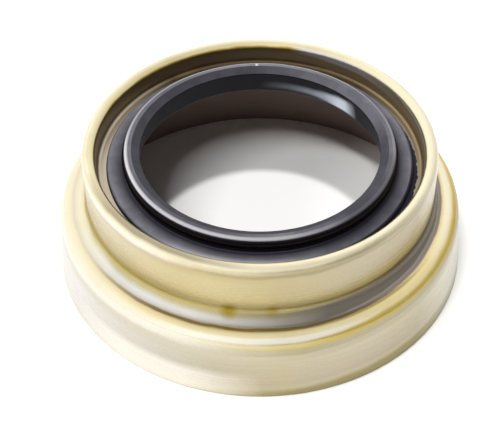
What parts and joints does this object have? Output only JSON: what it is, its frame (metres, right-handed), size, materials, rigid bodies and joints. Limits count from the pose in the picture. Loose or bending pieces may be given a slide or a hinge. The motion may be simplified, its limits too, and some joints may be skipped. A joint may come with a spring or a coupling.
{
  "type": "oil seal",
  "caption": "Radial shaft oil seal: a stepped drawn-steel case with a flared skirt, press-fit collar and folded rim, holding a sprung rubber lip that wipes a shaft.",
  "frame": {"origin": "on the seal's axis, in the plane of the skirt's open end", "axes": "+Z along the axis, from the open skirt towards the folded rim and the oil side; X and Y are any two directions across it"},
  "size_m": [0.0796, 0.0796, 0.0261],
  "materials": {
    "zinc_plated_steel": "drawn steel sheet, zinc plated and yellow passivated, satin",
    "nitrile_rubber": "moulded black nitrile, satin",
    "spring_steel": "close-wound spring wire, oiled"
  },
  "bodies": {
    "root": {"steel_case": "zinc_plated_steel", "sealing_lip": "nitrile_rubber", "garter_spring": "spring_steel"}
  },
  "joints": []
}
